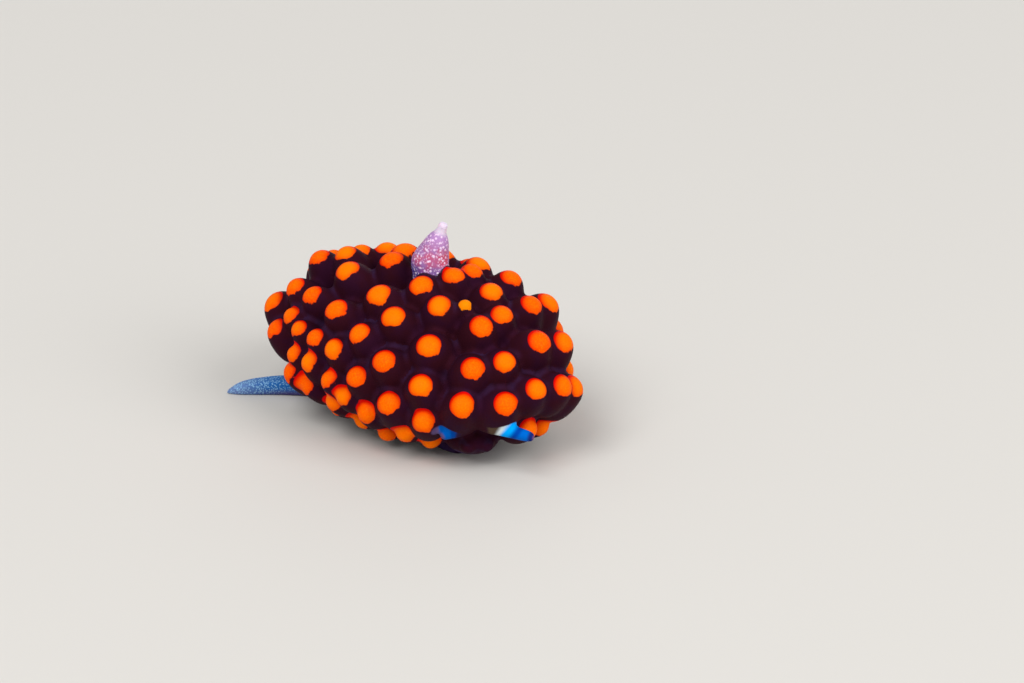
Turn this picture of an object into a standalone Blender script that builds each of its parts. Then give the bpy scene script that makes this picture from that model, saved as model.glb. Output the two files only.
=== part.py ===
"""A sap-sucking sea slug, Stiliger aureomarginatus, as a life-size still model.

The slug creeps on the floor. +X is forward, +Y is the animal's left and +Z is up.
The origin is on the floor, under the middle of the sole.
Sizes below are in millimetres and degrees, and are turned into metres at the very end.
"""
import math
import random

import bmesh
import bpy
from mathutils import Matrix, Vector
from mathutils.kdtree import KDTree

MILLIMETRE = 0.001
SEED = 16
GAP = 0.1                   # clearance kept between two nodes that meet
SPECK = 0.003               # vertices nearer than this to each other are merged after a Boolean

# The dome that the tips of the cerata make over the body
DOME_LENGTH = 11.5
DOME_WIDTH = 7.4
DOME_TOP = 5.6
DOME_LEVEL = 2.6            # height at which the dome is widest
DOME = Vector((DOME_LENGTH / 2, DOME_WIDTH / 2, DOME_TOP - DOME_LEVEL))

# Cerata: club-shaped outgrowths of the back
PRESSED_SHARE = 0.56        # bulb radius, as a share of the way to the tips around it
BULB_RADII = (0.42, 0.80)   # the least and the greatest
LOW_BULB_RADIUS = 0.46      # the greatest of the lowest cerata, along the edge of the foot
NEIGHBOURS = 4              # tips around a ceras that its bulb is pressed by
NECK_RADIUS = 0.27
CAP_SHARE = 0.64            # radius of the orange cap, as a share of the bulb's
LOW_CAP_EXTRA = 0.10        # what the lowest cerata have on top of that share
CERAS_SIDES = 8
LEAST_SPACING = 0.74        # a ceras that would stand nearer to another is left out
LOW_SPACING = 0.56          # the same, for the lowest ones
LOW_TIP = 0.9               # height of the tips of the lowest ones
UNEVENNESS = 0.05           # how much the sizes of the cerata differ
WANDER = 0.6                # degrees that a tip strays from its row

# A place on the dome is an angle down from the crown and a bearing round it:
# 0 is the head end, -90 the animal's right side. A row runs between two such places:
# (upper angle, upper bearing, lower angle, lower bearing, bow, number of cerata),
# and the bow is how many degrees the middle of the row strays in bearing.
CROWN_ROWS = (
    (20, -65, 20, -65, 0, 1),
    (13, -5, 18, 39, 0, 2),
    (27, 69, 27, 69, 0, 1),
    (13, -146, 14, 154, 0, 2),
)
FRONT_ROWS = (
    (27, 8, 43, 27, 0, 2),
    (65, 20, 89, 14, 0, 2),
    (57, 1, 83, 3, 0, 2),
    (80, -14, 80, -14, 0, 1),
    (39, -9, 86, -30, -6, 3),
    (43, -28, 87, -47, -4, 3),
)
SIDE_ROWS = (
    (32, -50, 103, -61, -6, 4),
    (43, -78, 120, -70, -2, 4),
    (34, -93, 133, -82, 0, 5),
    (51, -108, 93, -99, 4, 3),
    (101, -93, 101, -93, 0, 1),
    (32, -134, 52, -127, 0, 2),
    (69, -129, 107, -114, 3, 3),
    (73, -119, 87, -110, 0, 2),
    (72, -109, 110, -101, 0, 3),
)
OUTER_ROWS = (
    (35, 50, 54, 46, 0, 2),
    (30, -161, 82, -132, 8, 3),
    (43, -162, 102, -121, -4, 3),
    (77, 146, 77, 146, 0, 1),
    (101, 138, 101, 176, 0, 2),
)
INNER_ROWS = (
    (113, -11, 122, 9, 0, 2),
    (133, -58, 133, -58, 0, 1),
    (121, -105, 127, -94, 0, 2),
    (75, 55, 97, 46, 0, 2),
    (110, 32, 124, 66, 0, 3),
    (32, 175, 57, 156, 0, 2),
    (50, 175, 82, 168, 0, 3),
)
OUTER_REACH = 1.035         # how far out the tips of the outer rows are, as a share of the dome
INNER_REACH = 0.97          # the same, for the inner rows
LEFT_REACH = 0.955          # the same, for the side rows of the left, mirrored from the right
LEFT_TURN = 14              # degrees that the mirrored rows are turned towards the rear
YOUNG_CERAS = (31, -31)     # one young ceras between the grown ones
YOUNG_RADIUS = 0.34

# Each root lies at a share of its tip's place: in front, behind, sideways and in height
ROOT_SHARES = (0.60, 0.72, 0.42, 0.50)
LEAN = (0.4, -0.8)          # how far forward and to the left the highest cerata lean
ROOT_LEVEL = 1.15           # height of the root of a ceras whose tip is at the dome's level
ROOT_LOWEST = 1.0
ROOT_REAR = -3.6            # no root lies behind this

# Back, foot and tail
BACK_LENGTH = 8.2
BACK_WIDTH = 4.0
BACK_TOP = 3.7
BACK_LEVEL = 1.9
FOOT_HEIGHT = 0.5
FOOT_HALF_WIDTH = 1.1
FOOT_FRONT = 2.75
FOOT_REAR = -3.7
FRONT_BEND = 0.10           # sideways bend of the foot, in mm for each mm forward, squared
REAR_BEND = 0.05
TAIL_TIP = Vector((-6.03, -2.60, 0.0))
TAIL_HEIGHT = 0.6
TAIL_HALF_WIDTH = 0.38
TAIL_TAPER = 0.36           # how much thinner the tail is just before its rounded tip

# Half width and height, as shares, of a section of the foot or tail, from left to right
SECTION = ((0.84, 0.0), (1.0, 0.25), (0.96, 0.62), (0.74, 1.0),
           (-0.74, 1.0), (-0.96, 0.62), (-1.0, 0.25), (-0.84, 0.0))

# Head, feelers and eyes
HEAD_CENTRE = Vector((2.85, -1.05, 0.86))
HEAD_SIZE = Vector((1.02, 0.92, 0.60))     # half length, half width and half height
HEAD_TURN = -38.0           # degrees from straight ahead
RHINOPHORE_ROOT = Vector((0.44, 0.42, 0.40))   # from the head's centre: forward, left, up
LEFT_RHINOPHORE_TIP = Vector((2.20, 1.56, 0.69))
RIGHT_RHINOPHORE_TIP = Vector((0.72, -1.40, 0.24))
RHINOPHORE_RADIUS = 0.26
LIP_PLACE = Vector((0.80, 0.27, -0.06))
LIP_SIZE = Vector((0.34, 0.28, 0.24))
EYE_PLACE = Vector((-0.16, 0.40, 0.47))
EYE_RADIUS = 0.11

# The one pale, swollen ceras on the crown
PALE_ROOT = Vector((-0.40, -0.42, 3.2))
PALE_TIP = Vector((0.56, 0.28, 6.88))
PALE_RADIUS = 0.61


def clear_scene():
    for thing in list(bpy.data.objects):
        bpy.data.objects.remove(thing, do_unlink=True)


def material(name, colour, roughness):
    surface = bpy.data.materials.new(name)
    surface.use_nodes = True
    shader = surface.node_tree.nodes["Principled BSDF"]
    shader.inputs["Base Color"].default_value = (*colour, 1.0)
    shader.inputs["Roughness"].default_value = roughness
    shader.inputs["Metallic"].default_value = 0.0
    return surface


def add_object(name, mesh_data, surface):
    """Turn a bmesh in millimetres into a named object at the origin."""
    bmesh.ops.remove_doubles(mesh_data, verts=mesh_data.verts, dist=0.001)
    bmesh.ops.recalc_face_normals(mesh_data, faces=mesh_data.faces)
    mesh = bpy.data.meshes.new(name)
    mesh_data.to_mesh(mesh)
    mesh_data.free()
    thing = bpy.data.objects.new(name, mesh)
    bpy.context.scene.collection.objects.link(thing)
    mesh.materials.append(surface)
    return thing


def ellipsoid(name, centre, half_sizes, turn, surface, segments=24, rings=14):
    data = bmesh.new()
    bmesh.ops.create_uvsphere(data, u_segments=segments, v_segments=rings, radius=1.0)
    place = Matrix.Translation(centre) @ Matrix.Rotation(math.radians(turn), 4, "Z")
    data.transform(place @ Matrix.Diagonal((*half_sizes, 1.0)))
    return add_object(name, data, surface)


def turned(name, root, tip, profile, sides, surface, start=0.0):
    """Spin a profile of (distance from the tip, radius) round the line from tip to root."""
    data = bmesh.new()
    points = [data.verts.new((radius, 0.0, -distance)) for distance, radius in profile]
    edges = [data.edges.new(pair) for pair in zip(points, points[1:])]
    bmesh.ops.spin(data, geom=points + edges, cent=(0, 0, 0), axis=(0, 0, 1),
                   angle=math.tau, steps=sides, use_merge=True)
    turn = Vector((0, 0, 1)).rotation_difference(tip - root).to_matrix().to_4x4()
    data.transform(Matrix.Translation(tip) @ turn @ Matrix.Rotation(start, 4, "Z"))
    return add_object(name, data, surface)


def cut_flat(thing, point, outward):
    """Cut a closed mesh with a plane, drop what lies outward of it and close the cut."""
    data = bmesh.new()
    data.from_mesh(thing.data)
    cut = bmesh.ops.bisect_plane(data, geom=data.verts[:] + data.edges[:] + data.faces[:],
                                 plane_co=point, plane_no=outward, clear_outer=True)
    rim = [item for item in cut["geom_cut"] if isinstance(item, bmesh.types.BMEdge)]
    bmesh.ops.contextual_create(data, geom=rim)
    bmesh.ops.recalc_face_normals(data, faces=data.faces)
    data.to_mesh(thing.data)
    data.free()


def keep_largest_surface(thing):
    """Drop every closed surface of a mesh but the one of the greatest volume."""
    data = bmesh.new()
    data.from_mesh(thing.data)
    waiting = set(data.faces)
    surfaces = []
    while waiting:
        edge_of_search = [waiting.pop()]
        surface = list(edge_of_search)
        while edge_of_search:
            face = edge_of_search.pop()
            beside = {other for edge in face.edges for other in edge.link_faces} & waiting
            waiting -= beside
            edge_of_search.extend(beside)
            surface.extend(beside)
        surfaces.append(surface)

    def volume(faces):
        centre = faces[0].calc_center_median()
        return sum((face.calc_center_median() - centre).dot(face.normal) * face.calc_area()
                   for face in faces)

    surfaces.sort(key=volume)
    spare = [face for surface in surfaces[:-1] for face in surface]
    bmesh.ops.delete(data, geom=spare, context="FACES")
    data.to_mesh(thing.data)
    data.free()


def smooth_over_seams(thing):
    """Merge the specks that a Boolean leaves along its seams, and make every face a triangle."""
    data = bmesh.new()
    data.from_mesh(thing.data)
    bmesh.ops.remove_doubles(data, verts=data.verts, dist=SPECK)
    needless = [vert for vert in data.verts if len(vert.link_edges) == 2]
    bmesh.ops.dissolve_verts(data, verts=needless)
    bmesh.ops.triangulate(data, faces=data.faces)
    data.to_mesh(thing.data)
    data.free()


def combine(base, others, operation):
    """Apply one Boolean of a whole collection to a closed mesh, and remove the others."""
    group = bpy.data.collections.new(base.name + "_operands")
    for other in others:
        group.objects.link(other)
    boolean = base.modifiers.new("Combine", "BOOLEAN")
    boolean.operand_type = "COLLECTION"
    boolean.collection = group
    boolean.operation = operation
    boolean.solver = "MANIFOLD"
    bpy.context.view_layer.objects.active = base
    bpy.ops.object.modifier_apply(modifier=boolean.name)
    for other in others:
        bpy.data.objects.remove(other, do_unlink=True)
    bpy.data.collections.remove(group)
    keep_largest_surface(base)
    return base


def dome_point(angle, bearing, reach=1.0):
    angle = math.radians(angle)
    bearing = math.radians(bearing)
    direction = Vector((math.sin(angle) * math.cos(bearing),
                        math.sin(angle) * math.sin(bearing), math.cos(angle)))
    return DOME * direction * reach + Vector((0, 0, DOME_LEVEL))


def row_places(row):
    """The (angle, bearing) of each ceras of a row, evenly from its upper to its lower end."""
    upper_angle, upper_bearing, lower_angle, lower_bearing, bow, count = row
    sweep = (lower_bearing - upper_bearing + 180) % 360 - 180
    for index in range(count):
        share = index / max(count - 1, 1)
        angle = upper_angle + (lower_angle - upper_angle) * share
        yield angle, upper_bearing + sweep * share + bow * 4 * share * (1 - share)


def lowness(tip):
    """0 down to the dome's widest level, rising to 1 near the floor."""
    return min(max((DOME_LEVEL - tip.z) / (DOME_LEVEL - LOW_TIP), 0.0), 1.0)


def ceras_tips(rng):
    """The tip of every ceras, the crown and the right side first, the left side last."""
    places = []
    for row in CROWN_ROWS + FRONT_ROWS + SIDE_ROWS:
        places += [(*place, 1.0) for place in row_places(row)]
    for row in OUTER_ROWS:
        places += [(*place, OUTER_REACH) for place in row_places(row)]
    for row in INNER_ROWS:
        places += [(*place, INNER_REACH) for place in row_places(row)]
    for row in SIDE_ROWS:
        places += [(angle, LEFT_TURN - bearing, LEFT_REACH) for angle, bearing in row_places(row)]

    tips = []
    for angle, bearing, reach in places:
        angle += rng.uniform(-WANDER, WANDER)
        bearing += rng.uniform(-WANDER, WANDER)
        tip = dome_point(angle, bearing, reach)
        spacing = LEAST_SPACING + (LOW_SPACING - LEAST_SPACING) * lowness(tip)
        if all((tip - other).length > spacing for other in tips):
            tips.append(tip)
    return tips


def grow_cerata(rng):
    """Tip and bulb radius of every ceras, each swollen until it presses on those around it."""
    tips = ceras_tips(rng)
    cerata = []
    for tip in tips:
        around = sorted((tip - other).length for other in tips)[1:NEIGHBOURS + 1]
        radius = PRESSED_SHARE * sum(around) / NEIGHBOURS
        greatest = BULB_RADII[1] + (LOW_BULB_RADIUS - BULB_RADII[1]) * lowness(tip)
        radius = min(max(radius, BULB_RADII[0]), greatest)
        cerata.append((tip, radius * rng.uniform(1 - UNEVENNESS, 1 + UNEVENNESS)))
    cerata.append((dome_point(*YOUNG_CERAS), YOUNG_RADIUS))
    return cerata


def ceras_root(tip):
    """The point well inside the back that a ceras grows from."""
    height = tip.z - DOME_LEVEL
    lean = max(height, 0.0) / DOME.z
    x = tip.x * (ROOT_SHARES[0] if tip.x > 0 else ROOT_SHARES[1]) - LEAN[0] * lean
    y = tip.y * ROOT_SHARES[2] - LEAN[1] * lean
    return Vector((max(x, ROOT_REAR), y, max(ROOT_LEVEL + height * ROOT_SHARES[3], ROOT_LOWEST)))


def ceras_profile(length, bulb, neck):
    """A club: blunt cone at the tip, bulb, then a waist down to the neck and the root."""
    return [(0.0, 0.0), (0.10 * bulb, 0.35 * bulb), (0.46 * bulb, 0.65 * bulb),
            (1.35 * bulb, bulb), (2.05 * bulb, 0.85 * bulb), (length, neck), (length, 0.0)]


def cap_radius(tip, bulb):
    return (CAP_SHARE + LOW_CAP_EXTRA * lowness(tip)) * bulb


def make_torso(cerata, rng, skin, cap):
    half = Vector((BACK_LENGTH / 2, BACK_WIDTH / 2, BACK_TOP - BACK_LEVEL))
    back = ellipsoid("torso", (0, 0, BACK_LEVEL), half, 0, skin)
    cut_flat(back, (0, 0, FOOT_HEIGHT + GAP), (0, 0, -1))
    clubs = []
    for tip, radius in cerata:
        root = ceras_root(tip)
        profile = ceras_profile((tip - root).length, radius, min(NECK_RADIUS, radius * 0.8))
        clubs.append(turned("ceras", root, tip, profile, CERAS_SIDES, skin, rng.uniform(0, 1)))
    combine(back, clubs, "UNION")
    rooms = [head_body("room", GAP, skin), pale_ceras("room", GAP, skin)]
    rooms += [rhinophore("room", side, GAP, skin) for side in (1, -1)]
    combine(back, rooms, "DIFFERENCE")
    smooth_over_seams(back)

    back.data.materials.append(cap)
    tips = KDTree(len(cerata))
    for index, (tip, radius) in enumerate(cerata):
        tips.insert(tip, index)
    tips.balance()
    for face in back.data.polygons:
        tip, index, distance = tips.find(face.center)
        face.material_index = int(distance < cap_radius(*cerata[index]))
    return back


def head_frame():
    """Forward, left and up of the head, with its centre as the origin."""
    return Matrix.Translation(HEAD_CENTRE) @ Matrix.Rotation(math.radians(HEAD_TURN), 4, "Z")


def head_body(name, grow, surface):
    half = HEAD_SIZE + Vector((grow, grow, grow))
    return ellipsoid(name, HEAD_CENTRE, half, HEAD_TURN, surface, 20, 12)


def rhinophore(name, side, grow, surface):
    """A short finger with a rounded tip; side is 1 for the left one and -1 for the right."""
    root = head_frame() @ (RHINOPHORE_ROOT * Vector((1, side, 1)))
    tip = head_frame() @ (LEFT_RHINOPHORE_TIP if side > 0 else RIGHT_RHINOPHORE_TIP)
    along = (tip - root).normalized()
    length = (tip - root).length + 2 * grow
    radius = RHINOPHORE_RADIUS
    profile = [(0.0, 0.0), (0.05, 0.45 * radius + grow), (0.18, 0.78 * radius + grow),
               (0.5 * length, 0.9 * radius + grow), (0.8 * length, radius + grow),
               (length, radius + grow), (length, 0.0)]
    return turned(name, root - along * grow, tip + along * grow, profile, 12, surface)


def eye(name, side, grow, surface):
    place = head_frame() @ (EYE_PLACE * Vector((1, side, 1)))
    size = EYE_RADIUS + grow
    return ellipsoid(name, place, Vector((size, size, size)), 0, surface, 12, 8)


def lip(side, surface):
    place = head_frame() @ (LIP_PLACE * Vector((1, side, 1)))
    return ellipsoid("lip", place, LIP_SIZE, HEAD_TURN, surface, 14, 9)


def make_head(skin):
    head = head_body("head", 0.0, skin)
    combine(head, [lip(side, skin) for side in (1, -1)], "UNION")
    cut_flat(head, (0, 0, FOOT_HEIGHT + GAP), (0, 0, -1))
    rooms = [rhinophore("room", side, GAP / 2, skin) for side in (1, -1)]
    rooms += [eye("room", side, GAP / 2, skin) for side in (1, -1)]
    combine(head, rooms, "DIFFERENCE")
    smooth_over_seams(head)
    return head


def pale_ceras(name, grow, surface):
    """A swollen ceras on a thin neck, with a small nipple at its tip."""
    along = (PALE_TIP - PALE_ROOT).normalized()
    length = (PALE_TIP - PALE_ROOT).length + 2 * grow
    radius = PALE_RADIUS
    profile = [(0.0, 0.0), (0.04, 0.11 + grow), (0.28, 0.15 + grow), (0.40, 0.38 * radius + grow),
               (0.66, 0.62 * radius + grow), (1.05, 0.82 * radius + grow), (1.43, radius + grow),
               (1.80, 0.79 * radius + grow), (2.3, NECK_RADIUS + grow),
               (length, NECK_RADIUS + grow), (length, 0.0)]
    return turned(name, PALE_ROOT - along * grow, PALE_TIP + along * grow, profile, 14, surface)


def foot_line(x):
    """The middle line of the foot, bent towards the animal's right at both ends."""
    bend = FRONT_BEND if x > 0 else REAR_BEND
    return Vector((x, -bend * x * x, 0.0))


def strap(name, line, half_widths, heights, surface):
    """Loft flat-bottomed, round-topped sections along a line that lies on the floor."""
    data = bmesh.new()
    rings = []
    for index, (middle, half_width, height) in enumerate(zip(line, half_widths, heights)):
        ahead = line[min(index + 1, len(line) - 1)] - line[max(index - 1, 0)]
        across = Vector((-ahead.y, ahead.x, 0)).normalized()
        ring = [data.verts.new(middle + across * half_width * width + Vector((0, 0, height * rise)))
                for width, rise in SECTION]
        rings.append(ring)
    for ring, following in zip(rings, rings[1:]):
        for index in range(len(SECTION)):
            before = index - 1
            data.faces.new((ring[before], ring[index], following[index], following[before]))
    data.faces.new(rings[0])
    data.faces.new(rings[-1])
    return add_object(name, data, surface)


def make_foot(skin):
    steps = 18
    line, half_widths = [], []
    for index in range(steps + 1):
        share = index / steps
        line.append(foot_line(FOOT_REAR + (FOOT_FRONT - FOOT_REAR) * share))
        rounding = math.sqrt(max(1 - (2 * share - 1) ** 6, 0.12))
        widening = min(1.0, share / 0.45) ** 0.8 * rounding
        half_widths.append(TAIL_HALF_WIDTH + (FOOT_HALF_WIDTH - TAIL_HALF_WIDTH) * widening)
    return strap("foot", line, half_widths, [FOOT_HEIGHT] * len(line), skin)


def make_tail(skin):
    steps = 10
    start = foot_line(FOOT_REAR - GAP)
    bend = foot_line(FOOT_REAR - 0.9)
    line, half_widths, heights = [], [], []
    for index in range(steps + 1):
        share = index / steps
        middle = start * (1 - share) ** 2 + bend * 2 * share * (1 - share) + TAIL_TIP * share ** 2
        line.append(middle)
        taper = (1 - TAIL_TAPER * share) * math.sqrt(max(1 - share ** 10, 0.03))
        half_widths.append(TAIL_HALF_WIDTH * taper)
        heights.append(TAIL_HEIGHT * taper)
    return strap("tail", line, half_widths, heights, skin)


def main():
    clear_scene()
    rng = random.Random(SEED)
    black = material("cerata_skin", (0.020, 0.006, 0.018), 0.35)
    orange = material("cap_orange", (1.0, 0.17, 0.01), 0.4)
    dark = material("head_skin", (0.018, 0.008, 0.02), 0.4)
    purple = material("foot_skin", (0.07, 0.02, 0.09), 0.4)
    blue = material("tail_blue", (0.03, 0.16, 0.42), 0.4)
    electric = material("rhinophore_blue", (0.01, 0.14, 0.6), 0.4)
    bead = material("eye_black", (0.004, 0.004, 0.005), 0.1)
    mauve = material("ceras_mauve", (0.52, 0.32, 0.60), 0.35)

    make_torso(grow_cerata(rng), rng, black, orange)
    make_head(dark)
    make_foot(purple)
    make_tail(blue)
    for side, word in ((1, "left"), (-1, "right")):
        rhinophore("rhinophore_" + word, side, 0.0, electric)
        eye("eye_" + word, side, 0.0, bead)
    pale_ceras("ceras_pale", 0.0, mauve)

    for thing in bpy.data.objects:
        thing.data.transform(Matrix.Scale(MILLIMETRE, 4))
        for face in thing.data.polygons:
            face.use_smooth = True


main()
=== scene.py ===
# %% [markdown]
# # A sea slug the size of a fingernail
#
# Stiliger aureomarginatus is a small sap-sucking sea slug. Its whole back is packed with
# club-shaped outgrowths, the cerata: dark purple clubs, each with a round orange cap. Two blue
# feelers and a blue tail look out from under them, and one pale, swollen ceras stands on the crown.
#
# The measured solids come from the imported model. They set the size and the place of everything,
# and the script starts by loading them as a fixed frame.

import math
import random

import bpy
import numpy as np
from mathutils import Matrix, Vector


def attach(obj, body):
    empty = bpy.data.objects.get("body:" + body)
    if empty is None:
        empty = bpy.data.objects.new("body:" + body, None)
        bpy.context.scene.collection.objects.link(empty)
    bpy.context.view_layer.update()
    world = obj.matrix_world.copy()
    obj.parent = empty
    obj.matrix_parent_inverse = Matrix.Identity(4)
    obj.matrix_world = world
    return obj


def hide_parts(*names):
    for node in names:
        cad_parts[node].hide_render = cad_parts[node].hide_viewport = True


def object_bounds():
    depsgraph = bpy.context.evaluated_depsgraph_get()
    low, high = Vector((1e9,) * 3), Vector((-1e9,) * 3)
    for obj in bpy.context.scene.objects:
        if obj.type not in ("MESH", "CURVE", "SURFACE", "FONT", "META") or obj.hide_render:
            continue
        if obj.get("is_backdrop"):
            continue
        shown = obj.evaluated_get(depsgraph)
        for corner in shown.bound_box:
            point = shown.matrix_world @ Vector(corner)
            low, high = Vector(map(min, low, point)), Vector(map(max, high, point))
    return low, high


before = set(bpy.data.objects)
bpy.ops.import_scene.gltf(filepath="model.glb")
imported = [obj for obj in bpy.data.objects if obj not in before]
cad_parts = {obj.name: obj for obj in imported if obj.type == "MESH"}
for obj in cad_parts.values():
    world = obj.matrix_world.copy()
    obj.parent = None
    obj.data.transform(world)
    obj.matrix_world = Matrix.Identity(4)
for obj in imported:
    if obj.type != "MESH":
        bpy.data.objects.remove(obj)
cad_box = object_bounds()
print("solids, in mm:", [round(size * 1000, 1) for size in cad_box[1] - cad_box[0]])

# %% [markdown]
# ## Working in millimetres
#
# The frame is in metres, but the whole animal is 12 mm long. Blender's tools merge and round at
# about a micrometre, which is close to the size of this slug's details, so every piece is modelled
# at one unit to the millimetre and is shrunk to metres as its last step.

# %% Small helpers for selecting and for metres
MM = 0.001


def pick(*things):
    """Select these objects alone; the last one becomes the active one."""
    bpy.ops.object.select_all(action="DESELECT")
    for thing in things:
        thing.select_set(True)
    if things:
        bpy.context.view_layer.objects.active = things[-1]


def apply_modifier(thing, kind, **settings):
    """Add one modifier, set it up and apply it."""
    pick(thing)
    modifier = thing.modifiers.new(kind.title(), kind)
    for name, setting in settings.items():
        setattr(modifier, name, setting)
    bpy.ops.object.modifier_apply(modifier=modifier.name)


def to_metres(thing):
    """Shrink a finished piece from millimetres to metres, and leave its object unscaled."""
    thing.data.transform(Matrix.Scale(MM, 4))


# %% [markdown]
# ## The camera
#
# The photo looks down on the slug's right side by about 25 degrees, 41 degrees round towards its
# head. A macro lens sees it from far away for its size, so a long lens at 40 cm copies the view.
# The camera's place is worked out from two facts of the photo: how many of its pixels go to a
# millimetre, and which pixel shows the middle of the dome of cerata.

# %% Place the camera
PHOTO_WIDTH, PHOTO_HEIGHT = 1024, 683
PIXELS_PER_MM = 32.0
DOME_PIXEL = (425.0, 345.3)
AZIMUTH, ELEVATION = math.radians(41), math.radians(25)
CAMERA_DISTANCE = 400.0
SENSOR_WIDTH = 36.0

DOME_LENGTH = 11.5
DOME_WIDTH = 7.4
DOME_TOP = 5.6
DOME_LEVEL = 2.6            # height at which the dome is widest
DOME = Vector((DOME_LENGTH / 2, DOME_WIDTH / 2, DOME_TOP - DOME_LEVEL))

back = Vector((math.sin(AZIMUTH) * math.cos(ELEVATION),
               -math.cos(AZIMUTH) * math.cos(ELEVATION), math.sin(ELEVATION)))
right = Vector((math.cos(AZIMUTH), math.sin(AZIMUTH), 0))
up = back.cross(right)

aim = Vector((0, 0, DOME_LEVEL))
aim += right * (PHOTO_WIDTH / 2 - DOME_PIXEL[0]) / PIXELS_PER_MM
aim += up * (DOME_PIXEL[1] - PHOTO_HEIGHT / 2) / PIXELS_PER_MM

bpy.ops.object.select_all(action="DESELECT")
bpy.ops.object.camera_add(location=(aim + back * CAMERA_DISTANCE) * MM,
                          rotation=(-back).to_track_quat("-Z", "Y").to_euler())
camera = bpy.context.object
camera.name = "camera"
camera.data.sensor_width = SENSOR_WIDTH
camera.data.lens = SENSOR_WIDTH * CAMERA_DISTANCE * PIXELS_PER_MM / PHOTO_WIDTH
camera.data.clip_start = 0.01
camera.data.clip_end = 10.0
camera.data.dof.use_dof = False
bpy.context.scene.camera = camera
print("lens, in mm:", round(camera.data.lens))

# %% [markdown]
# ## Modelling a turned form
#
# Cerata, feelers and the pale ceras are all round in section, like something turned on a lathe.
# A spin would do, but extruding a disc ring by ring is the way to model them by hand: start with a
# small disc at the tip, push it on, widen or narrow it, and repeat down the profile.

# %% A disc extruded ring by ring
UP = Vector((0, 0, 1))


def turned(name, profile, sides, smoothing=1):
    """Extrude a disc down -Z along a profile of (distance from the tip, radius)."""
    depth, radius = profile[0]
    bpy.ops.object.select_all(action="DESELECT")
    bpy.ops.mesh.primitive_circle_add(vertices=sides, radius=radius, fill_type="NGON")
    thing = bpy.context.object
    thing.name = thing.data.name = name
    bpy.ops.object.mode_set(mode="EDIT")
    bpy.ops.mesh.select_all(action="SELECT")
    bpy.ops.transform.translate(value=(0, 0, -depth))
    for deeper, wider in profile[1:]:
        bpy.ops.mesh.extrude_region_move(TRANSFORM_OT_translate={"value": (0, 0, depth - deeper)})
        bpy.ops.transform.resize(value=(wider / radius, wider / radius, 1),
                                 center_override=(0, 0, -deeper))
        depth, radius = deeper, wider
    bpy.ops.mesh.select_all(action="SELECT")
    bpy.ops.mesh.normals_make_consistent(inside=False)
    bpy.ops.object.mode_set(mode="OBJECT")
    if smoothing:
        apply_modifier(thing, "SUBSURF", levels=smoothing, render_levels=smoothing)
    return thing


def stand_on_line(thing, root, tip, twist=0.0):
    """Turn a form that hangs below the origin so that it runs from its tip back to its root."""
    turn = UP.rotation_difference(tip - root).to_matrix().to_4x4()
    thing.data.transform(Matrix.Translation(tip) @ turn @ Matrix.Rotation(twist, 4, "Z"))


# %% [markdown]
# ## Where the cerata grow
#
# Every ceras ends on one smooth dome. Its place there is an angle down from the crown and a bearing
# round it, 0 at the head end and -90 on the animal's right side. The photo shows them in slanting
# rows, so a few rows with their two ends give all of them, and a little seeded wandering takes the
# rows' stiffness away. These are the same rows and the same draws as those of the solids, so each
# soft ceras lands on its solid one.

# %% Rows of cerata
SEED = 16
PRESSED_SHARE = 0.56        # bulb radius, as a share of the way to the tips around it
BULB_RADII = (0.42, 0.80)   # the least and the greatest
LOW_BULB_RADIUS = 0.46      # the greatest of the lowest cerata, along the edge of the foot
NEIGHBOURS = 4              # tips around a ceras that its bulb is pressed by
LEAST_SPACING = 0.74        # a ceras that would stand nearer to another is left out
LOW_SPACING = 0.56          # the same, for the lowest ones
LOW_TIP = 0.9               # height of the tips of the lowest ones
UNEVENNESS = 0.05           # how much the sizes of the cerata differ
WANDER = 0.6                # degrees that a tip strays from its row

# (upper angle, upper bearing, lower angle, lower bearing, bow, number of cerata),
# and the bow is how many degrees the middle of the row strays in bearing.
CROWN_ROWS = (
    (20, -65, 20, -65, 0, 1),
    (13, -5, 18, 39, 0, 2),
    (27, 69, 27, 69, 0, 1),
    (13, -146, 14, 154, 0, 2),
)
FRONT_ROWS = (
    (27, 8, 43, 27, 0, 2),
    (65, 20, 89, 14, 0, 2),
    (57, 1, 83, 3, 0, 2),
    (80, -14, 80, -14, 0, 1),
    (39, -9, 86, -30, -6, 3),
    (43, -28, 87, -47, -4, 3),
)
SIDE_ROWS = (
    (32, -50, 103, -61, -6, 4),
    (43, -78, 120, -70, -2, 4),
    (34, -93, 133, -82, 0, 5),
    (51, -108, 93, -99, 4, 3),
    (101, -93, 101, -93, 0, 1),
    (32, -134, 52, -127, 0, 2),
    (69, -129, 107, -114, 3, 3),
    (73, -119, 87, -110, 0, 2),
    (72, -109, 110, -101, 0, 3),
)
OUTER_ROWS = (
    (35, 50, 54, 46, 0, 2),
    (30, -161, 82, -132, 8, 3),
    (43, -162, 102, -121, -4, 3),
    (77, 146, 77, 146, 0, 1),
    (101, 138, 101, 176, 0, 2),
)
INNER_ROWS = (
    (113, -11, 122, 9, 0, 2),
    (133, -58, 133, -58, 0, 1),
    (121, -105, 127, -94, 0, 2),
    (75, 55, 97, 46, 0, 2),
    (110, 32, 124, 66, 0, 3),
    (32, 175, 57, 156, 0, 2),
    (50, 175, 82, 168, 0, 3),
)
OUTER_REACH = 1.035         # how far out the tips of the outer rows are, as a share of the dome
INNER_REACH = 0.97          # the same, for the inner rows
LEFT_REACH = 0.955          # the same, for the side rows of the left, mirrored from the right
LEFT_TURN = 14              # degrees that the mirrored rows are turned towards the rear
YOUNG_CERAS = (31, -31)     # one young ceras between the grown ones
YOUNG_RADIUS = 0.34
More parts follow.
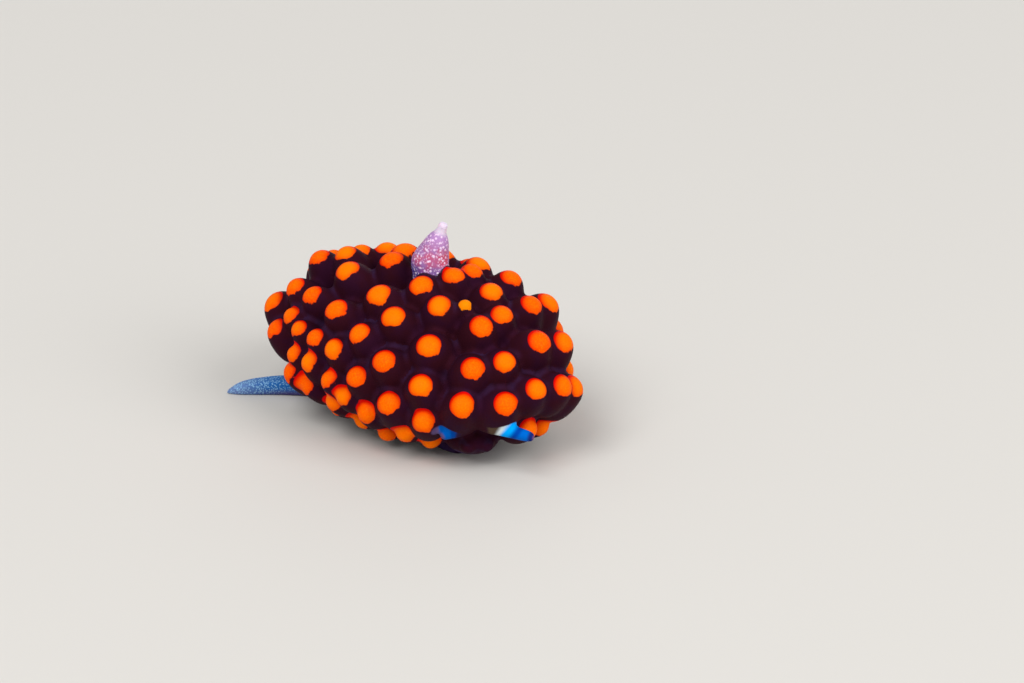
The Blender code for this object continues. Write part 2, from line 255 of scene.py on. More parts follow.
# Each root lies at a share of its tip's place: in front, behind, sideways and in height
ROOT_SHARES = (0.60, 0.72, 0.42, 0.50)
LEAN = (0.4, -0.8)          # how far forward and to the left the highest cerata lean
ROOT_LEVEL = 1.15           # height of the root of a ceras whose tip is at the dome's level
ROOT_LOWEST = 1.0
ROOT_REAR = -3.6            # no root lies behind this


def dome_point(angle, bearing, reach=1.0):
    """The point of the dome at this angle down from the crown and this bearing round it."""
    angle = math.radians(angle)
    bearing = math.radians(bearing)
    direction = Vector((math.sin(angle) * math.cos(bearing),
                        math.sin(angle) * math.sin(bearing), math.cos(angle)))
    return DOME * direction * reach + Vector((0, 0, DOME_LEVEL))


def row_places(row):
    """The (angle, bearing) of each ceras of a row, evenly from its upper to its lower end."""
    upper_angle, upper_bearing, lower_angle, lower_bearing, bow, count = row
    sweep = (lower_bearing - upper_bearing + 180) % 360 - 180
    for index in range(count):
        share = index / max(count - 1, 1)
        angle = upper_angle + (lower_angle - upper_angle) * share
        yield angle, upper_bearing + sweep * share + bow * 4 * share * (1 - share)


def lowness(tip):
    """0 down to the dome's widest level, rising to 1 near the floor."""
    return min(max((DOME_LEVEL - tip.z) / (DOME_LEVEL - LOW_TIP), 0.0), 1.0)


def ceras_tips(rng):
    """The tip of every ceras, the crown and the right side first, the left side last."""
    places = []
    for row in CROWN_ROWS + FRONT_ROWS + SIDE_ROWS:
        places += [(*place, 1.0) for place in row_places(row)]
    for row in OUTER_ROWS:
        places += [(*place, OUTER_REACH) for place in row_places(row)]
    for row in INNER_ROWS:
        places += [(*place, INNER_REACH) for place in row_places(row)]
    for row in SIDE_ROWS:
        places += [(angle, LEFT_TURN - bearing, LEFT_REACH) for angle, bearing in row_places(row)]

    tips = []
    for angle, bearing, reach in places:
        angle += rng.uniform(-WANDER, WANDER)
        bearing += rng.uniform(-WANDER, WANDER)
        tip = dome_point(angle, bearing, reach)
        spacing = LEAST_SPACING + (LOW_SPACING - LEAST_SPACING) * lowness(tip)
        if all((tip - other).length > spacing for other in tips):
            tips.append(tip)
    return tips


def grow_cerata(rng):
    """Tip and bulb radius of every ceras, each swollen until it presses on those around it."""
    tips = ceras_tips(rng)
    grown = []
    for tip in tips:
        around = sorted((tip - other).length for other in tips)[1:NEIGHBOURS + 1]
        greatest = BULB_RADII[1] + (LOW_BULB_RADIUS - BULB_RADII[1]) * lowness(tip)
        radius = min(max(PRESSED_SHARE * sum(around) / NEIGHBOURS, BULB_RADII[0]), greatest)
        grown.append((tip, radius * rng.uniform(1 - UNEVENNESS, 1 + UNEVENNESS)))
    return grown + [(dome_point(*YOUNG_CERAS), YOUNG_RADIUS)]


def ceras_root(tip):
    """The point well inside the back that a ceras grows from."""
    height = tip.z - DOME_LEVEL
    lean = max(height, 0.0) / DOME.z
    x = tip.x * (ROOT_SHARES[0] if tip.x > 0 else ROOT_SHARES[1]) - LEAN[0] * lean
    y = tip.y * ROOT_SHARES[2] - LEAN[1] * lean
    return Vector((max(x, ROOT_REAR), y, max(ROOT_LEVEL + height * ROOT_SHARES[3], ROOT_LOWEST)))


cerata = grow_cerata(random.Random(SEED))
print("cerata:", len(cerata), "of which the last one is young")

# %% [markdown]
# ## One ceras, and its many copies
#
# A ceras is a club: a rounded tip, a swollen bulb and a stalk that thins towards the back. It is
# modelled once, one unit wide, and copied to every place. Each copy has its own mesh, because each
# is stretched to its own length and pressed a little out of round by its neighbours.

# %% Model the club and plant its copies
CLUB_PROFILE = ((0.01, 0.14), (0.05, 0.27), (0.14, 0.41), (0.30, 0.55), (0.50, 0.67), (0.74, 0.78),
                (1.0, 0.88), (1.3, 0.96), (1.65, 1.0), (2.0, 0.92), (2.35, 0.74), (2.75, 0.56),
                (3.2, 0.45), (3.4, 0.44))
STALK_STARTS = 2.3          # bulb radii below the tip; only what is below is stretched
FULLER = 1.04               # the soft bulbs are this much wider than the faceted solids' corners
OUT_OF_ROUND = 0.05
club = turned("ceras", CLUB_PROFILE, 16)
club_points = np.array([vert.co for vert in club.data.vertices])

shape_rng = random.Random(4)
copies = []
for tip, radius in cerata:
    root = ceras_root(tip)
    length = (tip - root).length
    points = club_points * radius
    stalk = points[:, 2] < -STALK_STARTS * radius
    stretch = (length - STALK_STARTS * radius) / ((CLUB_PROFILE[-1][0] - STALK_STARTS) * radius)
    points[stalk, 2] = (points[stalk, 2] + STALK_STARTS * radius) * stretch - STALK_STARTS * radius
    wide = FULLER * shape_rng.uniform(1 - OUT_OF_ROUND, 1 + OUT_OF_ROUND)
    points *= (wide, FULLER ** 2 / wide, 1.0)

    copy = club.copy()
    copy.data = club.data.copy()
    bpy.context.scene.collection.objects.link(copy)
    copy.data.vertices.foreach_set("co", points.ravel())
    stand_on_line(copy, root, tip, shape_rng.uniform(0, math.pi))
    copies.append(copy)
bpy.data.objects.remove(club)
pick(*copies)
bpy.ops.object.join()
skin = bpy.context.object
skin.name = skin.data.name = "slug_skin"
print("clubs planted:", len(copies), "with", len(skin.data.polygons), "faces")

# %% [markdown]
# ## The back under the cerata
#
# Pushing the cerata apart would show a narrow, humped back. A ball squeezed to three sizes and
# shaved flat underneath is enough of it, because little shows between the pressed bulbs. It is made
# bigger than the real back, so that no hole opens between the stalks.

# %% Model the back
BACK_CENTRE = Vector((0, 0, 2.0))
BACK_HALF = Vector((4.3, 2.3, 2.15))
BACK_UNDERSIDE = 0.3        # the back is shaved off at this height, inside the foot


def ball(name, centre, half_sizes, turn=0.0, segments=32, rings=20):
    """A ball squeezed to three half sizes, turned about the vertical, with its place in its mesh."""
    bpy.ops.object.select_all(action="DESELECT")
    bpy.ops.mesh.primitive_uv_sphere_add(segments=segments, ring_count=rings, radius=1.0)
    thing = bpy.context.object
    thing.name = thing.data.name = name
    turned_by = Matrix.Rotation(math.radians(turn), 4, "Z")
    thing.data.transform(Matrix.Translation(centre) @ turned_by @ Matrix.Diagonal((*half_sizes, 1)))
    return thing


def shave(thing, height):
    """Cut off what is below a height and close the cut."""
    pick(thing)
    bpy.ops.object.mode_set(mode="EDIT")
    bpy.ops.mesh.select_all(action="SELECT")
    bpy.ops.mesh.bisect(plane_co=(0, 0, height), plane_no=(0, 0, -1), clear_outer=True,
                        use_fill=True)
    bpy.ops.object.mode_set(mode="OBJECT")


core = ball("back", BACK_CENTRE, BACK_HALF)
shave(core, BACK_UNDERSIDE)
print("back, in mm:", [round(size, 1) for size in core.dimensions])

# %% [markdown]
# ## The foot and the tail
#
# The slug creeps on one long strap of muscle, broad under the head and drawn out behind into a
# pointed tail that bends to the right. A small grid is extruded from the front to the tip of the
# tail, as if the foot were straight. Each step is moved, widened or narrowed and lowered. Then the
# whole strap is laid along the bent middle line of the animal, so that each section stays square to
# it, and a subdivision surface rounds the corners while the sole stays flat on the floor.

# %% Extrude the foot and tail
FOOT_HEIGHT = 0.5
FOOT_HALF_WIDTH = 1.1
FOOT_FRONT = 2.75
FOOT_REAR = -3.7
FOOT_BROAD_FROM = 0.45      # share of the foot's length, from its rear, where it is full width
FOOT_SQUARENESS = 6         # the higher, the squarer the front end
FRONT_BEND = 0.10           # sideways bend of the foot, in mm for each mm forward, squared
REAR_BEND = 0.05
TAIL_START = -3.8
TAIL_TURN = -4.6            # the tail heads for this point of the foot's line and turns aside
TAIL_TIP = Vector((-6.03, -2.60, 0.0))
TAIL_HEIGHT = 0.6
TAIL_HALF_WIDTH = 0.38
TAIL_TAPER = 0.36           # how much thinner the tail is just before its rounded tip
TAIL_BLUNTNESS = 10         # the higher, the blunter that tip


def foot_line(x):
    """The middle line of the foot, bent towards the animal's right at both ends."""
    bend = FRONT_BEND if x > 0 else REAR_BEND
    return Vector((x, -bend * x * x, 0.0))


def foot_stations(steps=18):
    """(middle, half width, height) of the foot's sections, from its front to the tail."""
    for index in range(steps, -1, -1):
        share = index / steps
        rounding = math.sqrt(max(1 - (2 * share - 1) ** FOOT_SQUARENESS, 0.12))
        widening = min(1.0, share / FOOT_BROAD_FROM) ** 0.8 * rounding
        half_width = TAIL_HALF_WIDTH + (FOOT_HALF_WIDTH - TAIL_HALF_WIDTH) * widening
        yield foot_line(FOOT_REAR + (FOOT_FRONT - FOOT_REAR) * share), half_width, FOOT_HEIGHT


def tail_line(share):
    """The middle line of the tail, a curve from the foot's rear to its tip."""
    start, bend = foot_line(TAIL_START), foot_line(TAIL_TURN)
    return start * (1 - share) ** 2 + bend * 2 * share * (1 - share) + TAIL_TIP * share ** 2


def tail_stations(steps=12):
    """(middle, half width, height) of the tail's sections, from the foot to its tip."""
    for index in range(steps + 1):
        share = index / steps
        taper = (1 - TAIL_TAPER * share) * math.sqrt(max(1 - share ** TAIL_BLUNTNESS, 0.06))
        yield tail_line(share), TAIL_HALF_WIDTH * taper, TAIL_HEIGHT * taper


def strap(name, stations):
    """Extrude a section of four by two faces along stations of (middle, half width, height)."""
    middles, half_widths, heights = zip(*stations)
    steps = [(later - middle).length for middle, later in zip(middles, middles[1:])]
    so_far = np.concatenate(([0.0], np.cumsum(steps)))
    bpy.ops.object.select_all(action="DESELECT")
    bpy.ops.mesh.primitive_grid_add(x_subdivisions=2, y_subdivisions=4, size=2)
    thing = bpy.context.object
    thing.name = thing.data.name = name
    on_edge = Matrix.Rotation(math.radians(90), 4, "Y")
    size = Matrix.Diagonal((1, half_widths[0], heights[0] / 2, 1))
    thing.data.transform(size @ Matrix.Translation((0, 0, 1)) @ on_edge)
    bpy.ops.object.mode_set(mode="EDIT")
    bpy.ops.mesh.select_all(action="SELECT")
    for index in range(1, len(middles)):
        wider = half_widths[index] / half_widths[index - 1]
        higher = heights[index] / heights[index - 1]
        bpy.ops.mesh.extrude_region_move(
            TRANSFORM_OT_translate={"value": (-float(steps[index - 1]), 0, 0)})
        bpy.ops.transform.resize(value=(1, wider, higher),
                                 center_override=(-float(so_far[index]), 0, 0))
    bpy.ops.mesh.select_all(action="SELECT")
    bpy.ops.mesh.normals_make_consistent(inside=False)
    bpy.ops.object.mode_set(mode="OBJECT")

    line = np.array(middles)
    forward = -np.gradient(line, so_far, axis=0)
    forward /= np.linalg.norm(forward, axis=1)[:, None]
    for vert in thing.data.vertices:
        x, y = [np.interp(-vert.co.x, so_far, line[:, axis]) for axis in (0, 1)]
        ahead_x, ahead_y = [np.interp(-vert.co.x, so_far, forward[:, axis]) for axis in (0, 1)]
        vert.co = (x - ahead_y * vert.co.y, y + ahead_x * vert.co.y, vert.co.z)
    apply_modifier(thing, "SUBSURF", levels=2, render_levels=2)
    return thing


foot = strap("foot", [*foot_stations(), *tail_stations()])
print("foot and tail, in mm:", [round(size, 1) for size in foot.dimensions])

# %% [markdown]
# ## The head
#
# Little of the head shows under the cerata: a low, dark dome, turned to the right, with two soft
# lobes at the mouth. It is a squeezed ball with two smaller ones for the lobes. The mouth is a short
# slit between them, made by insetting a few faces of the ball and pushing them in.

# %% Model the head with its lips and mouth
HEAD_CENTRE = Vector((2.85, -1.05, 0.86))
HEAD_SIZE = Vector((1.02, 0.92, 0.60))
HEAD_TURN = -38.0
LIP_PLACE = Vector((0.80, 0.27, -0.06))
LIP_SIZE = Vector((0.34, 0.28, 0.24))
MOUTH_FRONT = 0.9           # the mouth's faces lie ahead of this, seen from the middle of the head
MOUTH_HALF_WIDTH = 0.3
MOUTH_BOTTOM, MOUTH_TOP = -0.22, -0.04
MOUTH_DEPTH = 0.16
MOUTH_RIM = 0.03
head_frame = (Matrix.Translation(HEAD_CENTRE)
              @ Matrix.Rotation(math.radians(HEAD_TURN), 4, "Z"))
ahead = head_frame.to_3x3() @ Vector((1, 0, 0))

head = ball("head", HEAD_CENTRE, HEAD_SIZE, HEAD_TURN)
to_head = head_frame.inverted()
for face in head.data.polygons:
    local = to_head @ face.center
    face.select = (local.x > MOUTH_FRONT and abs(local.y) < MOUTH_HALF_WIDTH
                   and MOUTH_BOTTOM < local.z < MOUTH_TOP)
for edge in head.data.edges:
    edge.select = False
for vert in head.data.vertices:
    vert.select = False
pick(head)
bpy.ops.object.mode_set(mode="EDIT")
bpy.ops.mesh.select_mode(type="FACE")
bpy.ops.mesh.inset(thickness=MOUTH_RIM)
bpy.ops.mesh.extrude_region_move(TRANSFORM_OT_translate={"value": ahead * -MOUTH_DEPTH})
bpy.ops.mesh.select_mode(type="VERT")
bpy.ops.object.mode_set(mode="OBJECT")
lips = [ball("lip", head_frame @ (LIP_PLACE * Vector((1, side, 1))), LIP_SIZE, HEAD_TURN, 20, 12)
        for side in (1, -1)]
print("head, in mm:", [round(size, 1) for size in head.dimensions])

# %% [markdown]
# ## The feelers
#
# The two rhinophores are short, blunt fingers that feel and smell the water. They are turned forms,
# each with a round tip and widening gently down to a root among the bulbs over the head. The tip
# keeps its shape, whatever the length, and the rest is set at shares of the length.

# %% Model the two rhinophores
# Root and tip, seen from the middle of the head
RHINOPHORES = {"left": (Vector((1.28, -0.04, 0.94)), Vector((2.38, 1.52, 0.77))),
               "right": (Vector((1.11, -0.47, 0.72)), Vector((1.31, -1.24, 0.57)))}
RHINOPHORE_RADIUS = 0.26

feelers = []
for root, tip in RHINOPHORES.values():
    root, tip = head_frame @ root, head_frame @ tip
    length = (tip - root).length
    radius = RHINOPHORE_RADIUS
    profile = ((0.01, 0.28 * radius), (0.05, 0.48 * radius), (0.13, 0.64 * radius),
               (0.30, 0.74 * radius), (0.55 * length, 0.86 * radius), (0.8 * length, radius),
               (length, radius))
    feeler = turned("feeler", profile, 16, smoothing=2)
    stand_on_line(feeler, root, tip)
    feelers.append(feeler)
    print("rhinophore, in mm:", round(length, 2))

# %% [markdown]
# ## The pale ceras
#
# One ceras on the crown is swollen and pale, drawn out into a small nipple. It is a turned form too,
# with more rings, because its outline stands free against the background.

# %% Model the pale ceras
PALE_ROOT = Vector((-0.40, -0.42, 3.2))
PALE_TIP = Vector((0.56, 0.28, 6.88))
PALE_PROFILE = ((0.0, 0.10), (0.03, 0.15), (0.12, 0.16), (0.24, 0.16), (0.34, 0.18),
                (0.40, 0.23), (0.50, 0.31), (0.66, 0.38), (0.86, 0.44), (1.05, 0.51),
                (1.24, 0.57), (1.43, 0.61), (1.61, 0.59), (1.80, 0.50), (2.05, 0.37),
                (2.3, 0.29), (3.0, 0.27), (3.6, 0.27))
pale = turned("pale", PALE_PROFILE, 20, smoothing=2)
stand_on_line(pale, PALE_ROOT, PALE_TIP)
print("pale ceras, in mm:", [round(size, 1) for size in pale.dimensions])

# %% [markdown]
# ## One skin
#
# A living slug has no seams, so the overlapping pieces are fused. A union would keep the hard
# creases of the meeting surfaces. Here every piece is swollen a little first, the voxel remesh
# wraps them all in one even mesh, and the swelling is taken back. Where two bulbs meet, that leaves
# the valley filled and rounded, as pressed flesh is. Smoothing softens the rest, and decimation
# takes faces out again where the skin is nearly flat. Bubbles shut in between the stalks come out
# as loose meshes and are thrown away.

# %% Fuse, smooth and thin out the skin
VOXEL = 0.055
SWELLING = 0.05
MOST_TRIANGLES = 190000
pick(core, foot, head, *lips, *feelers, pale, skin)
bpy.ops.object.join()
skin = bpy.context.object
apply_modifier(skin, "DISPLACE", strength=SWELLING, mid_level=0.0)
apply_modifier(skin, "REMESH", mode="VOXEL", voxel_size=VOXEL, use_smooth_shade=True)
apply_modifier(skin, "SMOOTH", factor=0.5, iterations=2)
apply_modifier(skin, "DISPLACE", strength=-SWELLING, mid_level=0.0)

pick(skin)
bpy.ops.object.mode_set(mode="EDIT")
bpy.ops.mesh.separate(type="LOOSE")
bpy.ops.object.mode_set(mode="OBJECT")
parts = sorted(bpy.context.selected_objects, key=lambda part: len(part.data.vertices))
for bubble in parts[:-1]:
    bpy.data.objects.remove(bubble)
skin = parts[-1]
skin.name = skin.data.name = "slug_skin"

apply_modifier(skin, "SMOOTH", factor=0.5, iterations=4)
triangles = 2 * len(skin.data.polygons)
if triangles > MOST_TRIANGLES:
    apply_modifier(skin, "DECIMATE", ratio=MOST_TRIANGLES / triangles)
points = np.empty(len(skin.data.vertices) * 3)
skin.data.vertices.foreach_get("co", points)
points = points.reshape(-1, 3)
points[:, 2] = np.maximum(points[:, 2], 0.0)
skin.data.vertices.foreach_set("co", points.ravel())
print("bubbles removed:", len(parts) - 1, "triangles:", triangles, "thinned to",
      len(skin.data.polygons))

# %% [markdown]
# ## Fields on the skin
#
# The colours follow the body: caps sit on the tips, the tail and feelers change along their length.
# So each vertex gets a few plain numbers, such as how far inside a cap it lies. In a crease a vertex
# lies deeper than its neighbours, and how much deeper is another of these numbers. The material
# turns them into colour, and its fine noise keeps the edges crisp between the vertices.

# %% Measure the skin against the cerata
CAP_RADIUS = 0.28           # radius of an orange cap: this, plus a share of the bulb's radius
CAP_SHARE = 0.21
LOW_CAP_EXTRA = 0.06        # what the caps of the lowest cerata have on top of that
YOUNG_CAP_RADIUS = 0.25
CAPS_APART = 0.03           # flesh left between a cap's rim and the border to the next ceras
CORNER_SOFTNESS = 0.035     # rounds a cap's outline where its neighbour cuts into it
YOUNG_REACH = 0.3           # the young ceras's colour goes this far from its tip
RAGGED_WAY = Vector((0.6, 0, -1))    # a cap's ragged edge lies this way from its tip
FAR = 9.0                   # stands for too far away to matter


def add_field(name, values):
    """Store one number for each vertex of the skin, for the material to read."""
    layer = skin.data.attributes.new(name, "FLOAT", "POINT")
    layer.data.foreach_set("value", np.asarray(values, dtype=np.float32))


def mean_of_neighbours(values):
    """For each vertex, the mean of what its neighbours have."""
    total = np.zeros_like(values)
    np.add.at(total, ends[:, 0], values[ends[:, 1]])
    np.add.at(total, ends[:, 1], values[ends[:, 0]])
    neighbours = np.bincount(ends.ravel(), minlength=len(values))
    return (total.T / neighbours).T


ends = np.empty(len(skin.data.edges) * 2, dtype=np.int64)
skin.data.edges.foreach_get("vertices", ends)
ends = ends.reshape(-1, 2)
normals = np.empty(len(points) * 3)
skin.data.vertex_normals.foreach_get("vector", normals)
valley = ((mean_of_neighbours(points) - points) * normals.reshape(-1, 3)).sum(axis=1)
valley /= np.linalg.norm(points[ends[:, 0]] - points[ends[:, 1]], axis=1).mean()
for _ in range(2):
    valley = mean_of_neighbours(valley)
add_field("valley", valley)
print("valleys:", [round(float(value), 3) for value in np.percentile(valley, (5, 50, 80, 90, 97))])

tone_rng = random.Random(9)
count = len(points)
nearest = np.full(count, FAR)
next_nearest = np.full(count, FAR)
inside_cap = np.full(count, -FAR)
low_side = np.zeros(count)
tone = np.zeros(count)
for tip, radius in cerata:
    axis = (tip - ceras_root(tip)).normalized()
    downhill = (RAGGED_WAY - axis * RAGGED_WAY.dot(axis)).normalized()
    offset = points - np.array(tip)
    distance = np.sqrt((offset ** 2).sum(axis=1))
    cap_radius = CAP_RADIUS + CAP_SHARE * radius + LOW_CAP_EXTRA * lowness(tip)
    if radius == YOUNG_RADIUS:
        cap_radius = YOUNG_CAP_RADIUS
    closer = distance < nearest
    next_nearest = np.where(closer, nearest, np.minimum(next_nearest, distance))
    nearest = np.where(closer, distance, nearest)
    inside_cap = np.where(closer, cap_radius - distance, inside_cap)
    low_side = np.where(closer, offset @ np.array(downhill) / cap_radius, low_side)
    tone = np.where(closer, tone_rng.uniform(0, 1), tone)
from_border = (next_nearest - nearest) / 2 - CAPS_APART
add_field("cap", -CORNER_SOFTNESS * np.logaddexp(-inside_cap / CORNER_SOFTNESS,
                                                 -from_border / CORNER_SOFTNESS))
add_field("cap_low", low_side)
add_field("tone", tone)
from_young = points - np.array(cerata[-1][0])
add_field("young", (from_young ** 2).sum(axis=1) < YOUNG_REACH ** 2)
print("share of the skin inside a cap:", round(float((inside_cap > 0).mean()), 2))


# %% Measure the skin against the tail, the feelers and the pale ceras
def along_line(start, end):
    """How far along a line each vertex lies, 0 to 1, and how far off it, in mm."""
    start, reach = np.array(start), np.array(end - start)
    share = ((points - start) @ reach) / (reach @ reach)
    off = points - start - np.clip(share, 0, 1)[:, None] * reach
    return share, np.sqrt((off ** 2).sum(axis=1))


TAIL_SAMPLES = 40
TAIL_REACH = 0.6            # skin this near to the tail's middle line and this low is the tail's
TAIL_ROOM = 0.9
PALE_REACH = 0.10           # skin this near to the pale ceras's profile is its own, and it
PALE_SHOWN = 2.5            # ends this far below its tip
FACE_REACH = HEAD_SIZE.x + 0.1
SOLE_TOP = FOOT_HEIGHT + 0.08
SOLE_REACH = FOOT_HALF_WIDTH + 0.15
SOLE_FRONT = 3.4
tail_off = np.full(count, FAR)
tail_share = np.full(count, -1.0)
for index in range(TAIL_SAMPLES + 1):
    share = index / TAIL_SAMPLES
    away = np.sqrt(((points - np.array(tail_line(share)))[:, :2] ** 2).sum(axis=1))
    closer = away < tail_off
    tail_off = np.where(closer, away, tail_off)
    tail_share = np.where(closer, share, tail_share)
of_tail = (tail_off < TAIL_REACH) & (points[:, 2] < TAIL_ROOM) & (tail_share > 0)
add_field("tail", np.where(of_tail, tail_share, -0.1))

for word, (root, tip) in RHINOPHORES.items():
    share, off = along_line(head_frame @ root, head_frame @ tip)
    add_field(word + "_feeler", share)
    add_field(word + "_off", off)

share, off = along_line(PALE_TIP, PALE_ROOT)
pale_depth = share * (PALE_TIP - PALE_ROOT).length
profile_depths, profile_radii = np.array(PALE_PROFILE).T
beyond = off - np.interp(pale_depth, profile_depths, profile_radii)
of_pale = (beyond < PALE_REACH) & (pale_depth < PALE_SHOWN)
add_field("pale", np.where(of_pale, pale_depth, FAR))
add_field("pale_off", beyond)

in_head = points - np.array(HEAD_CENTRE)
add_field("face", (in_head ** 2).sum(axis=1) < FACE_REACH ** 2)

bend = np.where(points[:, 0] > 0, FRONT_BEND, REAR_BEND)
foot_off = np.abs(points[:, 1] + bend * points[:, 0] ** 2)
add_field("foot", (points[:, 2] < SOLE_TOP) & (foot_off < SOLE_REACH) & (points[:, 0] < SOLE_FRONT))
print("fields:", [layer.name for layer in skin.data.attributes if layer.data_type == "FLOAT"])

# %% [markdown]
# ## Writing materials as sums
#
# A material is a web of nodes, and a web of Math nodes is hard to read. One small class wraps a
# socket, so that `1 - mask * 0.5` adds its own Math nodes. Any other node comes from one method,
# which sets the node up first and then fills its sockets with numbers or links.

# %% Sockets that can be added and multiplied
class Shade:
    """What one socket gives over a surface. Arithmetic on it adds Math nodes."""

    def __init__(self, finish, socket):
        self.finish = finish
        self.socket = socket

    def math(self, operation, *values):
        return self.finish.node("ShaderNodeMath", {"operation": operation},
                                dict(enumerate(values)))

    def __add__(self, other):
        return self.math("ADD", self, other)

    def __radd__(self, other):
        return self.math("ADD", other, self)

    def __sub__(self, other):
        return self.math("SUBTRACT", self, other)

    def __rsub__(self, other):
        return self.math("SUBTRACT", other, self)

    def __mul__(self, other):
        return self.math("MULTIPLY", self, other)

    def __rmul__(self, other):
        return self.math("MULTIPLY", other, self)

    def at_least(self, other):
        return self.math("MAXIMUM", self, other)


class Finish:
    """A material that is put together node by node."""

    def __init__(self, name, roughness, specular=0.3):
        self.material = bpy.data.materials.new(name)
        self.material.use_nodes = True
        self.tree = self.material.node_tree
        self.shader = self.tree.nodes["Principled BSDF"]
        self.set(Roughness=roughness)
        self.shader.inputs["Specular IOR Level"].default_value = specular

    def node(self, kind, settings, inputs, output=0):
        """Add a node: first its settings, then the values or links of its sockets."""
        made = self.tree.nodes.new(kind)
        for name, setting in settings.items():
            setattr(made, name, setting)
        for name, given in inputs.items():
            self.feed(made.inputs[name], given)
        return Shade(self, made.outputs[output])

    def feed(self, socket, given):
        if isinstance(given, Shade):
            self.tree.links.new(given.socket, socket)
        else:
            socket.default_value = given

    def set(self, **inputs):
        """Fill sockets of the surface shader; a space in a socket's name is written _."""
        for name, given in inputs.items():
            self.feed(self.shader.inputs[name.replace("_", " ")], given)

    def place(self):
        """Object coordinates, in millimetres."""
        metres = self.node("ShaderNodeTexCoord", {}, {}, "Object")
        return self.node("ShaderNodeVectorMath", {"operation": "SCALE"}, {0: metres, "Scale": 1000})

    def field(self, name):
        return self.node("ShaderNodeAttribute", {"attribute_name": name}, {}, "Fac")

    def noise(self, place, scale, detail=2.0):
        return self.node("ShaderNodeTexNoise", {}, {"Vector": place, "Scale": scale,
                                                     "Detail": detail})

    def spots(self, place, scale):
        """Distance from the middle of the nearest of many scattered spots."""
        return self.node("ShaderNodeTexVoronoi", {}, {"Vector": place, "Scale": scale},
                         "Distance")

    def step(self, value, low, high):
        """0 where a value is below low, 1 above high, and a smooth way between."""
        return self.node("ShaderNodeMapRange", {"interpolation_type": "SMOOTHSTEP"},
                         {"Value": value, "From Min": low, "From Max": high})

    def mix(self, share, first, second):
        """Blend two colours."""
        return self.node("ShaderNodeMix", {"data_type": "RGBA"},
                         {0: share, 6: first, 7: second}, 2)

    def bump(self, height, distance, strength=1.0):
        self.set(Normal=self.node("ShaderNodeBump", {}, {"Height": height, "Distance": distance,
                                                           "Strength": strength}))


def colour(red, green, blue):
    """A colour as a painter's program gives it, 0 to 255, turned into light."""
    def light(value):
        value /= 255
        return value / 12.92 if value <= 0.04045 else ((value + 0.055) / 1.055) ** 2.4
    return light(red), light(green), light(blue), 1.0


# %% [markdown]
# ## The skin's colours
#
# The dark flesh is almost black aubergine. In the creases between the bulbs a bluish sheen is
# painted in, on the upper side of each ceras and stronger higher up the back: painted light, not a
# colour of the flesh. The caps are orange, redder round the rim, and their lower edge is ragged, as
# if the paint had run out: noise moves that edge in and out. The tail is blue with pale grains, and
# the feelers are banded. All of this is worked out from the fields, so none of it moves with the
# view.

# %% Finish the skin
FEELER_EDGE = (RHINOPHORE_RADIUS + 0.03, RHINOPHORE_RADIUS + 0.09)    # where its colour ends
BANDS_LEVEL = 1.7           # at this height the left feeler's bands lie at their given shares,
BANDS_SLANT = 0.3           # and nearer to its root by this share for each mm below it
skin_finish = Finish("slug_skin", roughness=0.5, specular=0.03)
place = skin_finish.place()
step, mix = skin_finish.step, skin_finish.mix

low_side = skin_finish.field("cap_low")
height = skin_finish.node("ShaderNodeSeparateXYZ", {}, {0: place}, "Z")
flesh = mix(step(skin_finish.noise(place, 1.6), 0.35, 0.7),
            colour(51, 16, 26), colour(47, 16, 35))
# painted sheen: a lighter, bluish colour painted into the creases between the bulbs, on each ceras's
# upper side and more of it higher up, standing in for light
painted_crease_sheen = step(skin_finish.field("valley"), 0.0, 0.15) * (1 - step(low_side, -0.6, 0.6))
painted_crease_sheen *= step(skin_finish.noise(place, 2.3), 0.30, 0.60) * 0.6 + 0.2
painted_crease_sheen *= step(height, 1.5, 4.5) * 0.6 + 0.4
flesh = mix(painted_crease_sheen, flesh, colour(52, 32, 62))
face_patch = skin_finish.field("face") * step(skin_finish.noise(place, 2.4), 0.5, 0.7)
flesh = mix(face_patch * 0.35, flesh, colour(52, 38, 66))

tone = skin_finish.field("tone")
grain = skin_finish.noise(place, 22.0, 3.0)
young = skin_finish.field("young")
low = (low_side + young * 0.4).at_least(0)
bites = skin_finish.noise(place, 2.6, 1.0) * 0.34 + skin_finish.noise(place, 8.0, 3.0) * 0.18
ragged = (bites - 0.21) * low
cap_depth = skin_finish.field("cap") - ragged
on_cap = step(cap_depth, -0.012, 0.022)
orange = mix(tone, colour(252, 86, 0), colour(255, 122, 0))
orange = mix(step(grain, 0.35, 0.75) * 0.5, orange, colour(255, 132, 0))
inward = cap_depth + low_side * 0.10
orange = mix(step(inward, 0.06, 0.28), mix(0.5, orange, colour(246, 56, 0)), orange)
orange = mix(step(inward, -0.03, 0.14), colour(214, 8, 0), orange)
orange = mix(young, orange, colour(250, 134, 2))
painted = mix(on_cap, flesh, orange)

tail_along = skin_finish.field("tail")
speckle = skin_finish.spots(place, 19.0)
pale_grain = (1 - step(speckle, 0.26, 0.56)) * (step(tail_along, 0.1, 0.8) * 0.85 + 0.04)
tail_blue = mix(step(tail_along, 0.1, 0.6), colour(0, 80, 152), colour(44, 104, 176))
tail_blue = mix(step(tail_along, 0.6, 1.0), tail_blue, colour(108, 136, 188))
tail_blue = mix(pale_grain, tail_blue, colour(150, 200, 236))
margin = (1 - step(height, 0.06, 0.30)) * (0.8 - step(tail_along, 0.4, 0.9) * 0.55)
tail_blue = mix(margin, tail_blue, colour(84, 58, 100))
on_tail = step(tail_along, 0.0, 0.22)
painted = mix(on_tail, painted, tail_blue)

